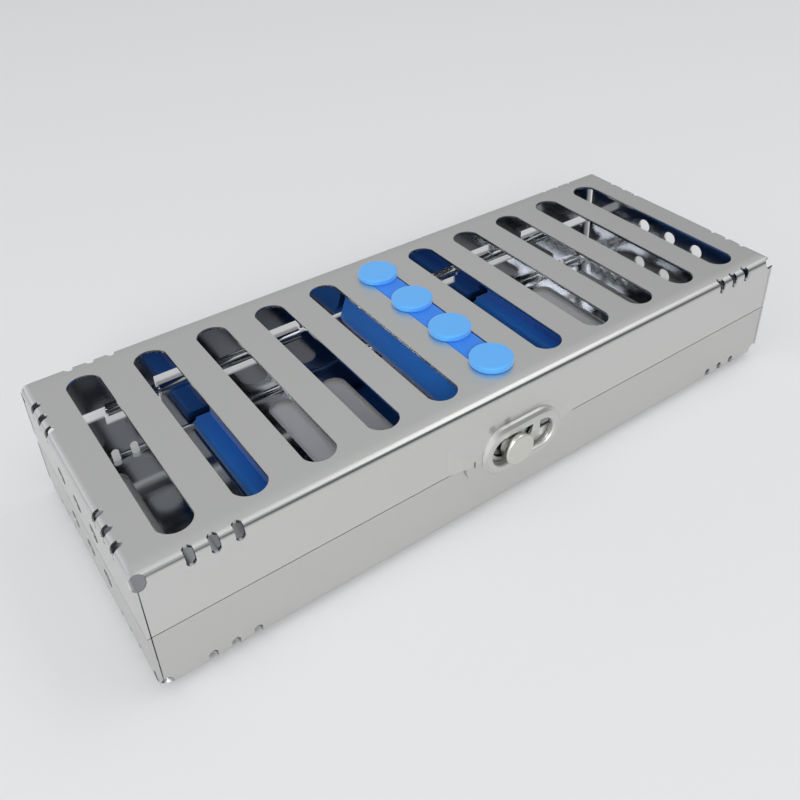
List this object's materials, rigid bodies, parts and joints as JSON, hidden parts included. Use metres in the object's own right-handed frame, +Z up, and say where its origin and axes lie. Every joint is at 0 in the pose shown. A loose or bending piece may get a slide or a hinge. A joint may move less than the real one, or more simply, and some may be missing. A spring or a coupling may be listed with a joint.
{
  "type": "instrument cassette",
  "caption": "Slotted folded-steel cassette with a hinged lid, sliding front latch, and silicone rails and hold-down for sterilising hand instruments.",
  "frame": {"origin": "middle of the footprint, on the surface the cassette stands on", "axes": "+X along the length to the right when facing the latch, +Y from the latch to the hinge, +Z up"},
  "size_m": [0.2, 0.0823, 0.0383],
  "materials": {
    "sheet_steel": "satin rolled stainless sheet",
    "pin_steel": "drawn stainless rod",
    "turned_steel": "turned and tumbled",
    "latch_steel": "plain stamped stainless",
    "spring_steel": "bright strip",
    "silicone": "moulded blue silicone, soft sheen"
  },
  "bodies": {
    "tray": {"base_tray": "sheet_steel", "left_hinge_pin": "pin_steel", "right_hinge_pin": "pin_steel", "left_rail": "silicone", "right_rail": "silicone", "latch_keeper": "latch_steel"},
    "lid": {"lid_shell": "sheet_steel", "lid_holddown": "silicone", "latch_guide": "latch_steel", "latch_spring": "spring_steel"},
    "latch": {"latch_slider": "latch_steel", "latch_knob": "turned_steel"}
  },
  "joints": [
    {"name": "lid_hinge", "type": "hinge", "parent": "tray", "child": "lid", "pos_m": [0, 0.0381, 0.019], "axis": [-1, 0, 0], "range_deg": [0, 135]},
    {"name": "latch_slide", "type": "slide", "parent": "lid", "child": "latch", "axis": [1, 0, 0], "range_m": [-0.0032, 0.0032]}
  ]
}
